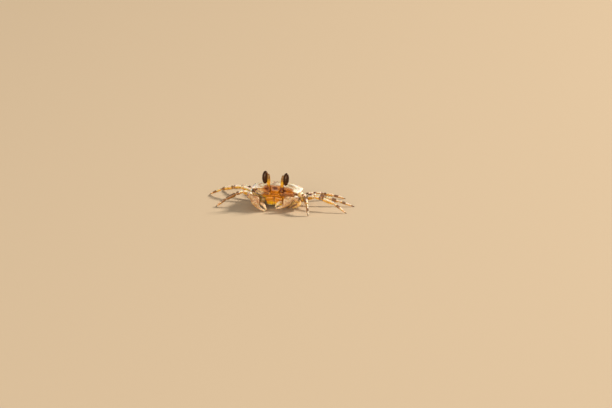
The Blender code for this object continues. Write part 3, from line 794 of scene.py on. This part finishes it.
# Each part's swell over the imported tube, its bend, how boxy it is, and the rise and spacing of its rugae.
LEG_FORM = {
    "root": (1.04, 0.0, 2.0, 0.016, 0.34), "thigh": (1.06, 0.10, 2.5, 0.030, 0.40),
    "wrist": (1.06, 0.05, 2.2, 0.018, 0.34), "hand": (1.05, 0.0, 2.5, 0.014, 0.30),
    "toe": (1.06, 0.12, 2.1, 0.0, 1.0),
}
FRONT_LEG_SWELL = {"left": 1.25, "right": 1.10}
LEG_SAW = 0.42                                # spacing of the teeth along the edges of a leg
BAND_EDGE = 0.35
# Where the dark bands lie on each leg, in millimetres along it from the root's far end.
BANDS = {
    ("left", 1): ((3.4, 4.6), (10.6, 12.0), (16.0, 17.2)),
    ("left", 2): ((4.6, 6.2), (11.2, 13.2), (19.4, 21.2)),
    ("left", 3): ((4.6, 6.2), (9.4, 12.0), (14.4, 16.2), (18.7, 20.2), (22.6, 24.0)),
    ("left", 4): ((3.4, 4.6), (6.6, 8.0), (9.8, 11.9), (15.2, 17.0)),
    ("right", 1): ((0.8, 2.2), (8.4, 16.6)),
    ("right", 2): ((2.4, 4.0), (12.2, 13.9), (17.2, 19.4), (21.7, 23.6)),
    ("right", 3): ((2.0, 3.4), (6.6, 8.0), (11.0, 12.6), (15.4, 17.0), (20.0, 21.4)),
    ("right", 4): ((2.0, 3.4), (6.4, 7.8), (11.0, 12.4), (15.6, 17.0)),
}


def limb_bones(parts, prefix, start_near):
    """Each part's start and far end along the limb, its deep direction, and its half depth and breadth."""
    bones = []
    for part in parts:
        corners = solid_points(prefix + part)
        starts = poles(prefix + part) if part == "root" else corners
        start = min(starts, key=lambda place: np.linalg.norm(place - start_near))
        end = max(corners, key=lambda corner: np.linalg.norm(corner - start))
        bones.append([start, end, *cross_section(prefix + part, (start, end))])
        start_near = end
    for bone, after in zip(bones, bones[1:]):
        bone[1] = after[0] = (bone[1] + after[0]) / 2
    return bones


def rugae(run, angle, spacing, seed):
    """Short raised lines across a limb, broken up like fish scales."""
    place = np.stack((run, 0.6 * np.cos(angle), 0.6 * np.sin(angle)), axis=-1)
    wander = 0.5 * clouds(place, 1.3, seed) + 0.12 * np.cos(2 * angle)
    broken = clouds(place * (1.0, 2.6, 2.6), 0.8, seed + 1)
    return np.clip(np.cos((run / spacing + wander) * math.tau), 0, 1) ** 2 * ease(broken, -0.15, 0.25)


def crest(angle, towards, width):
    return bell(np.angle(np.exp(1j * (angle - towards))), width)


def crests(angle, width, *towards):
    return sum(crest(angle, place, width) for place in towards)


def leg_relief(part, run, angle, share, seed):
    """How far a leg piece's surface stands out: flutes on the toe, rugae, saw edges and ribs on the rest."""
    if part == "toe":
        return 0.032 * np.cos(6 * angle) * between(share, 0.08, 0.2, 0.7, 0.98)
    scales = LEG_FORM[part][3] * rugae(run, angle, LEG_FORM[part][4], seed)
    if part == "root":
        return scales
    top, under = crest(angle, math.pi / 2, 0.28), crest(angle, -math.pi / 2, 0.34)
    saw = (0.5 + 0.5 * np.cos(run * math.tau / LEG_SAW)) ** 2
    clear = between(share, 0.10, 0.18, 0.88, 0.95)
    knob = crests(angle, 0.4, 0.0, math.pi) * bell(share - 0.95, 0.03)
    if part == "thigh":
        edges = 0.06 * top * (0.4 + saw) + 0.03 * under * saw
        return clear * (scales * np.abs(np.cos(angle)) + edges) + 0.05 * knob
    if part == "wrist":
        ribs = crests(angle, 0.16, math.pi / 2 - 0.5, math.pi / 2 + 0.5)
        return clear * (scales + 0.045 * ribs * (0.6 + 0.4 * saw)) + 0.06 * knob
    ribs = crests(angle, 0.15, 0.7, 2.44, -0.7, -2.44)
    return clear * (scales + 0.035 * ribs + 0.03 * top * saw) + 0.04 * knob


def leg_finish(name, hairs):
    """White and sand above, partly a painted highlight, crossed by dark brown bands, amber glass below,
    horn-brown at the toe's point, with painted light and shade on the folded front leg.
    """
    material, shader, place = new_finish(name, glow=0.35, coat=0.0 if hairs else 0.30)
    band, over, tip, joint, pale = map(place.value_of, ("band", "over", "tip", "joint", "pale"))
    band = (band + place.specks(0.5, 4.0, 0.7) * 1.5 - 0.78).ease(0.25, 0.75)
    # over: whiter above on the side facing the light, partly the shell's own pale top and partly a painted
    # highlight
    over = (over + place.specks(0.8, 3.0) * 0.5 - 0.25).ease(0.48, 0.78)
    white = place.specks(0.6, 4.0, 0.6).ease(0.46, 0.68).tint((0.92, 0.84, 0.70), (0.62, 0.38, 0.16))
    brown = place.specks(0.42, 3.0, 0.6).ease(0.38, 0.66).tint((0.18, 0.062, 0.022), (0.070, 0.024, 0.014))
    amber = place.specks(1.2, 3.0, 0.6).ease(0.35, 0.7).tint((0.76, 0.42, 0.045), (0.56, 0.235, 0.018))
    # straw: a paler copy of the amber, used as painted light on the folded leg's root and thigh
    straw = place.specks(0.9, 3.0).ease(0.35, 0.7).tint((0.86, 0.62, 0.27), (0.68, 0.42, 0.12))
    amber = pale.tint(amber, straw)
    rust = place.specks(0.5, 3.0).ease(0.35, 0.7).tint((0.30, 0.11, 0.02), (0.17, 0.05, 0.016))
    colour = over.tint((band * 0.85).tint(amber, rust), (band * 0.95).tint(white, brown))
    colour = (joint * 0.6).tint(colour, (0.66, 0.36, 0.12))
    fleck = place.specks(0.22, 3.0, 0.6).ease(0.60, 0.72) * 0.6
    colour = fleck.tint(colour, (0.20, 0.085, 0.035))
    colour = tip.tint(colour, (0.085, 0.032, 0.012))
    if hairs:
        colour = (place.value_of("rise").ease(0.1, 1.1) * 0.7).tint(colour, (0.80, 0.62, 0.38))
        lay_on(shader, colour, 0.40 + place.specks(0.3) * 0.2)
    else:
        lay_on(shader, colour, 0.30 + place.specks(0.5) * 0.22, place.specks(0.10, 3.0, 0.6), 0.016)
    return material


def skin_finish():
    """The thin pale skin of the joints, wet and wrinkled."""
    material, shader, place = new_finish("joint_skin", glow=0.55, coat=0.35)
    colour = place.specks(0.5, 3.0).ease(0.3, 0.7).tint((0.74, 0.50, 0.26), (0.58, 0.30, 0.10))
    lay_on(shader, colour, 0.28 + place.specks(0.3) * 0.2, place.specks(0.06, 3.0, 0.6), 0.012)
    return material


leg_shell, leg_bristle = leg_finish("leg_shell", False), leg_finish("leg_bristle", True)
joint_skin = skin_finish()
# How many hairs each part of a leg carries, how long they are, and where round it they stand.
LEG_HAIRS = {
    "thigh": (200, 0.34, lambda angle: crests(angle, 0.3, -1.1, -2.04) + 0.5 * crest(angle, 1.57, 0.3)),
    "wrist": (70, 0.30, lambda angle: crests(angle, 0.3, 1.1, 2.04)),
    "hand": (330, 0.50, lambda angle: crests(angle, 0.3, 1.2, 1.94) + crest(angle, -1.57, 0.5)),
    "toe": (300, 0.36, lambda angle: ease(-np.cos(6 * angle), 0.2, 0.9)),
}


def joint_sleeves(bones, reach=0.55, girth=0.66):
    """Short wrinkled tubes of skin, one through each joint of a limb, joined as one mesh."""
    points, faces, count = [], [], 0
    share = np.linspace(0, 1, 22)[:, None]
    angle = (np.arange(28) * math.tau / 28)[:, None]
    girth_along = (1 + 0.05 * np.cos(share * math.tau * 5)) * np.sqrt(np.clip(1 - (2 * share - 1) ** 6, 0, 1))
    for bone, after in zip(bones, bones[1:]):
        back, ahead = unit(bone[0] - bone[1]), unit(after[1] - after[0])
        a, b, c = bone[1] + back * reach, bone[1], after[0] + ahead * reach
        spine = (1 - share) ** 2 * a + 2 * share * (1 - share) * b + share ** 2 * c
        along = unit(c - a)
        deep = unit(bone[2] - along * (bone[2] @ along))
        spokes = np.cos(angle) * np.cross(along, deep) + np.sin(angle) * deep
        radius = girth * min(bone[3] * 0.8, after[3] * 0.8, 0.62) * girth_along
        grid = spine[:, None] + radius[..., None] * spokes
        points.append(closed_points(grid))
        faces += [tuple(k + count for k in face) for face in grid_faces(grid)]
        count += len(points[-1])
    return np.concatenate(points), faces


body_middle = solid_points("breast_plate").mean(0)
for side, number in BANDS:
    prefix = "leg%d_%s_" % (number, side)
    folded = (side, number) == ("left", 1)    # the leg that arches down beside the face, its outer side lit
    # the folded leg is painted as the light falls on it: its outer side whiter, its inner side darker, its root
    # and thigh paler
    lit = unit(np.array((0.9, 0.0, 0.7))) if folded else np.array((0.0, 0.0, 1.0))
    bones = limb_bones(LEG_PARTS, prefix, body_middle)
    travelled = -np.linalg.norm(bones[0][1] - bones[0][0])
    reach = sum(np.linalg.norm(bone[1] - bone[0]) for bone in bones)
    rng = np.random.default_rng(10 * number + (side == "left"))
    hairs = []
    for part, (start, end, deep, half_deep, half_broad) in zip(LEG_PARTS, bones):
        swell, bend, boxy = LEG_FORM[part][:3]
        if number == 1 and part != "root":
            swell *= FRONT_LEG_SWELL[side]
        grid, run, angle = loft(start, end, deep, half_deep * swell, half_broad * swell, LEG_ROUND[part],
                                around=40, step=0.085, bend=bend, boxy=boxy)
        share = run / run.max()
        relief = leg_relief(part, run, angle, share, number * 3 + (side == "left"))
        grid = grid + grid_facing(grid) * relief[..., None]
        grid[..., 2] = np.maximum(grid[..., 2], 0.0)
        facing = grid_facing(grid)
        way = run + travelled
        band = sum(between(way, a - BAND_EDGE, a + BAND_EDGE, b - BAND_EDGE, b + BAND_EDGE)
                   for a, b in BANDS[side, number])
        # painted shade on the folded leg's inner side, away from the light, darkened like a band
        inner = folded * ease(-facing[..., 0], -0.30, 0.1) * ease(way, 6.6, 7.8)
        values = {
            "band": np.maximum(band, inner),
            # whiter on the side facing the light, partly a painted highlight
            "over": facing @ lit * 0.5 + 0.5,
            "tip": ease(share, 0.80, 0.93) * (part == "toe"),
            "joint": np.clip(bell(share - 1, 0.03) + bell(share, 0.05), 0, 1) * (part != "toe"),
            # pale: paler straw on the folded leg's root and thigh, painted light where it is lit
            "pale": folded * ease(-way, -8.5, -6.5),
        }
        put_loft(prefix + part + "_shell", grid, leg_shell, [prefix + part], values)
        if part in LEG_HAIRS:
            count, length, weigh = LEG_HAIRS[part]
            weights = weigh(angle) * between(share, 0.06, 0.15, 0.80, 0.94)
            chosen = pick(rng, weights.ravel(), count)
            shorter = 0.5 * share.ravel()[chosen] * (part == "toe")
            tall = length * rng.uniform(0.6, 1.3, len(chosen)) * (1 - shorter)
            unwrap = np.stack((angle / math.tau, (way + 2.0) / (reach + 2.0)), axis=-1).reshape(-1, 2)[chosen]
            ways = combed(rng, facing.reshape(-1, 3)[chosen], unit(end - start))
            marks = [values[label].ravel()[chosen] for label in values]
            hairs.append([grid.reshape(-1, 3)[chosen], ways, tall, unwrap, *marks])
        travelled += run.max()
    *shapes, unwrap, band, over, tip, joint, pale = (np.concatenate(column) for column in zip(*hairs))
    put_bristles(prefix + "bristles", *shapes, unwrap, leg_bristle, "leg_shell",
                 {"band": band, "over": over, "tip": tip, "joint": joint, "pale": pale})
    points, faces = joint_sleeves(bones)
    put_piece(prefix + "joints", points, faces, joint_skin, [])

# Claws. Root, arm and wrist are made as the legs' tubes are. The hand is a broad pebbled palm drawn out to a
# fixed finger, with a hinged finger above it, and both bite along a row of blunt teeth. The shell is pinkish
# tan.
CLAW_PARTS = ("root", "arm", "wrist")
CLAW_ROUND = {
    "root": LEG_ROUND["root"],
    "arm": ((0, 0, 0), (0.02, 0.5, 0.46), (0.07, 0.70, 0.62), (0.2, 0.90, 0.88), (0.55, 1.0, 1.0),
            (0.85, 1.0, 0.96), (0.94, 0.86, 0.84), (0.985, 0.62, 0.60), (1, 0, 0)),
    "wrist": ((0, 0, 0), (0.03, 0.52, 0.50), (0.12, 0.86, 0.82), (0.35, 1.0, 1.0), (0.7, 1.0, 0.98),
              (0.9, 0.80, 0.78), (0.97, 0.56, 0.54), (1, 0, 0)),
}
CLAW_GRAIN = 0.075
CLAW_SWELL = 1.06
CLAW_SAW = 0.40                               # spacing of the teeth along the keels
WART = 0.42
TOOTH = 0.36                                  # spacing of the teeth along the bite


def claw_finish():
    """Pinkish tan mottled with orange and purple brown, amber below, paler straw on the roots and arms partly
    as painted light, ivory on the teeth, and a painted ivory highlight on top of the wrist.
    """
    material, shader, place = new_finish("claw_shell", glow=0.20, coat=0.12, depth=0.3)
    edge, over, finger, ivory, pale = map(place.value_of, ("edge", "over", "finger", "ivory", "pale"))
    tan = place.specks(0.9, 4.0, 0.6).ease(0.34, 0.68).tint((0.74, 0.52, 0.30), (0.48, 0.26, 0.11))
    tan = (place.specks(1.7, 3.0, 0.6, 0.5).ease(0.46, 0.60) * 0.7).tint(tan, (0.42, 0.17, 0.06))
    tan = (place.specks(1.3, 4.0, 0.65, 0.6).ease(0.54, 0.64) * 0.75).tint(tan, (0.22, 0.10, 0.085))
    amber = place.specks(1.1, 3.0, 0.6).ease(0.35, 0.7).tint((0.74, 0.42, 0.09), (0.60, 0.27, 0.04))
    colour = (over + place.specks(1.0) * 0.3).ease(0.32, 0.62).tint(amber, tan)
    # straw: a paler copy of the shell on the claw roots and arms, partly their own paler tone and partly
    # painted light
    straw = place.specks(0.8, 3.0, 0.6).ease(0.36, 0.70).tint((0.86, 0.61, 0.25), (0.66, 0.40, 0.11))
    straw = (place.specks(1.1, 4.0, 0.65, 0.6).ease(0.52, 0.62) * 0.65).tint(straw, (0.36, 0.17, 0.07))
    colour = pale.tint(colour, straw)
    purple = place.specks(0.4, 3.0).ease(0.35, 0.7).tint((0.22, 0.095, 0.070), (0.12, 0.045, 0.040))
    colour = ((edge + place.specks(0.5, 4.0) * 0.8).ease(0.50, 0.80) * 0.9).tint(colour, purple)
    horn = place.specks(0.6, 3.0).ease(0.35, 0.7).tint((0.84, 0.66, 0.44), (0.66, 0.38, 0.18))
    colour = finger.tint(colour, horn)
    # ivory on the teeth, and as a painted highlight on top of each wrist
    colour = (ivory * 0.9).tint(colour, (0.88, 0.82, 0.72))
    fleck = place.specks(0.24, 3.0, 0.6).ease(0.62, 0.74) * 0.6
    colour = fleck.tint(colour, (0.24, 0.10, 0.05))
    grain = 1.0 - place.cells(0.16).ease(0.0, 0.6) + place.specks(0.07, 2.0) * 0.5
    lay_on(shader, colour, 0.34 + place.specks(0.6) * 0.2, grain, 0.018)
    return material


def gape_piece(node, origin, tip, facing_edge, toothed, seed):
    """The palm or the hinged finger: pebbled, keeled above and below, toothed where it faces the other."""
    points, faces = even_skin(node, CLAW_GRAIN, soften=2)
    points = relaxed(points, edges_of(faces), rounds=10)
    points = points + outward(points, faces) * 0.07
    facing = outward(points, faces)
    length = np.linalg.norm(tip - origin)
    axis = unit(tip - origin)
    share = (points - origin) @ axis / length
    near, far = facing_edge
    gap = unit(far - near)
    foot = near + np.outer(np.clip((points - near) @ gap, 0, np.linalg.norm(far - near)), gap)
    towards = (foot - points) / np.linalg.norm(foot - points, axis=1)[:, None]
    bite = ease(np.einsum("ij,ij->i", facing, towards), 0.55, 0.92) * between(share, *toothed, 0.93, 0.985)
    teeth = bite * (0.35 + 0.65 * (0.5 + 0.5 * np.cos(share * length * math.tau / TOOTH)) ** 1.5)
    flat = unit(np.cross(axis, gap))
    keel = ease(1 - np.abs(facing @ flat), 0.86, 0.99) * (1 - bite) * ease(share, 0.06, 0.2)
    finger = ease(share, toothed[0] + 0.05, toothed[1] + 0.2)
    wart = pebbles(points, WART, seed) * (0.7 + 0.5 * clouds(points, 1.2, seed)) * (1 - bite)
    saw = 0.5 + 0.5 * np.cos(share * length * math.tau / CLAW_SAW)
    rise = 0.075 * wart * (1 - 0.6 * finger) + 0.10 * teeth + keel * (0.03 + 0.05 * saw) * (1 - 0.7 * finger)
    round_way = np.arctan2(facing @ np.cross(axis, flat), facing @ flat)
    rise += 0.025 * np.cos(round_way * 4) * finger * (1 - bite)
    points += facing * rise[:, None]
    points[:, 2] = np.maximum(points[:, 2], 0.0)
    values = {
        "edge": np.clip(keel * 0.8 + 0.35 * wart, 0, 1) * (1 - finger),
        "over": outward(points, faces)[:, 2] * 0.5 + 0.5,
        "finger": finger,
        "ivory": teeth,
        "pale": np.zeros_like(finger),
    }
    return points, faces, values


def fringe(name, rng, points, facing, weights, count, length, comb):
    """Bristles on a claw piece, unwrapped round its own long axis."""
    chosen = pick(rng, weights, count)
    spokes = points - points.mean(0)
    along, round_way, third = np.linalg.svd(spokes, full_matrices=False)[2]
    turn = np.arctan2(spokes @ round_way, spokes @ third) / math.tau + 0.5
    run = spokes @ along
    unwrap = np.stack((turn, (run - run.min()) / np.ptp(run)), axis=1)[chosen]
    ways = combed(rng, facing[chosen], comb, lift=0.72)
    tall = length * rng.uniform(0.6, 1.3, len(chosen))
    put_bristles(name, points[chosen], ways, tall, unwrap, body_bristle, "claw_shell")


def nearest_first(ends, place):
    return ends[np.argsort(np.linalg.norm(ends - place, axis=1))]


claw_shell = claw_finish()
for side in ("left", "right"):
    rng = np.random.default_rng(70 + (side == "left"))
    prefix = "claw_%s_" % side
    bones = limb_bones(CLAW_PARTS, prefix, body_middle)
    palm = nearest_first(poles(prefix + "palm"), bones[-1][1])
    hinged = nearest_first(poles(prefix + "finger"), bones[-1][1])
    bones[-1][1] = (bones[-1][1] + palm[0]) / 2
    for part, (start, end, deep, half_deep, half_broad) in zip(CLAW_PARTS, bones):
        grid, run, angle = loft(start, end, deep, half_deep * CLAW_SWELL, half_broad * CLAW_SWELL,
                                CLAW_ROUND[part], around=56, step=0.075, boxy=2.2)
        share = run / run.max()
        keels = crests(angle, 0.22, math.pi / 2, -2.6, -0.5)
        clear = between(share, 0.10, 0.2, 0.86, 0.96)
        saw = (0.5 + 0.5 * np.cos(run * math.tau / CLAW_SAW)) ** 2
        warts = pebbles(grid, WART, 3.0)
        rise = clear * (0.06 * keels * (0.4 + saw) + 0.065 * warts) * (part != "root")
        # noise that makes the edge of the painted wrist highlight uneven
        wrist_highlight_wobble = 0.25 * clouds(grid, 0.9, 2)
        grid = grid + grid_facing(grid) * rise[..., None]
        facing = grid_facing(grid)
        values = {
            "edge": np.clip(keels * clear * 0.8 + 0.3 * warts, 0, 1) * (1.0 if part == "wrist" else 0.55),
            "over": facing[..., 2] * 0.5 + 0.5,
            "finger": np.zeros(run.shape),
            # painted highlight: an ivory cap on top of each wrist, where it faces up
            "ivory": 0.9 * (part == "wrist") * ease(facing[..., 2] + wrist_highlight_wobble, 0.62, 0.86),
            # pale: paler straw on the root and arm, partly their own paler tone and partly painted light
            "pale": np.full(run.shape, 0.9 * (part != "wrist")),
        }
        put_loft(prefix + part + "_shell", grid, claw_shell, [prefix + part], values)
        if part != "root":
            fringe(prefix + part + "_bristles", rng, grid.reshape(-1, 3), facing.reshape(-1, 3),
                   (keels * clear).ravel() ** 2, count=90, length=0.30, comb=unit(end - start))
    points, faces, values = gape_piece(prefix + "palm", *palm, hinged, toothed=(0.55, 0.66), seed=11.0)
    put_piece(prefix + "palm_shell", points, faces, claw_shell, [prefix + "palm"], values)
    facing = outward(points, faces)
    under = ease(-facing[:, 2], 0.2, 0.8) * (1 - values["ivory"])
    fringe(prefix + "palm_bristles", rng, points, facing, under, count=170, length=0.28,
           comb=unit(palm[1] - palm[0]))
    fixed_finger = (palm[0] + 0.55 * (palm[1] - palm[0]), palm[1])
    points, faces, values = gape_piece(prefix + "finger", *hinged, fixed_finger,
                                       toothed=(0.12, 0.3), seed=13.0)
    put_piece(prefix + "finger_shell", points, faces, claw_shell, [prefix + "finger"], values)
    points, faces = joint_sleeves(bones + [[*palm, bones[-1][2], 0.7]], reach=0.7, girth=0.8)
    put_piece(prefix + "joints", points, faces, joint_skin, [])

# Stage. A plain pale floor, a broad soft light above and behind on the right, and weaker ones in front and
# overhead. The lens is long and looks slightly down, with the crab small and a little left of the middle.
LENS, FILM = 200.0, 36.0
AZIMUTH, ELEVATION = math.radians(12), math.radians(15)
FRAME_WIDTH = 0.2448
EYES_RIGHT, EYES_UP = -0.01216, 0.01026
AIM = np.array((-math.sin(AZIMUTH) * math.cos(ELEVATION), math.cos(AZIMUTH) * math.cos(ELEVATION),
                -math.sin(ELEVATION)))
RIGHT = np.array((math.cos(AZIMUTH), math.sin(AZIMUTH), 0.0))
camera = bpy.data.objects.new("camera", bpy.data.cameras.new("camera"))
bpy.context.scene.collection.objects.link(camera)
camera.data.lens = LENS
camera.data.sensor_width = FILM
camera.data.clip_start = 0.01
target = eyes / TO_MM - RIGHT * EYES_RIGHT - np.cross(RIGHT, AIM) * EYES_UP
camera.location = target - AIM * FRAME_WIDTH * LENS / FILM
camera.rotation_euler = (math.pi / 2 - ELEVATION, 0.0, AZIMUTH)
bpy.context.scene.camera = camera

material, shader, _ = new_finish("floor_paint")
shader.inputs["Base Color"].default_value = (0.55, 0.44, 0.315, 1.0)
shader.inputs["Roughness"].default_value = 0.8
bpy.ops.mesh.primitive_plane_add(size=6.0, location=(0, 0, 0))
floor = bpy.context.active_object
floor.name = "floor"
floor.data.materials.append(material)


def soft_light(name, azimuth, elevation, distance, size, power, colour):
    """A square soft box that looks at the crab from a compass bearing measured as the camera's is."""
    lamp = bpy.data.objects.new(name, bpy.data.lights.new(name, "AREA"))
    bpy.context.scene.collection.objects.link(lamp)
    lamp.data.size = size
    lamp.data.energy = power
    lamp.data.color = colour
    a, e = math.radians(azimuth), math.radians(elevation)
    lamp.location = np.array((math.sin(a) * math.cos(e), -math.cos(a) * math.cos(e), math.sin(e))) * distance
    lamp.rotation_euler = (math.pi / 2 - e, 0.0, a)


LAMPS = (
    # name, azimuth and elevation in degrees, distance and size in metres, power in watts, colour
    ("sun_side", 122, 36, 2.7, 0.50, 100.0, (1.0, 0.90, 0.76)),
    ("front_fill", -8, 14, 2.0, 1.2, 34.0, (1.0, 0.90, 0.75)),
    ("overhead", 60, 80, 0.9, 0.6, 0.6, (1.0, 0.97, 0.93)),
)
for lamp_row in LAMPS:
    soft_light(*lamp_row)
bpy.context.scene.view_settings.view_transform = "Standard"
world = bpy.data.worlds.new("studio")
bpy.context.scene.world = world
world.use_nodes = True
world.node_tree.nodes["Background"].inputs["Color"].default_value = (1.0, 0.94, 0.84, 1.0)
world.node_tree.nodes["Background"].inputs["Strength"].default_value = 0.26

bpy.context.view_layer.update()
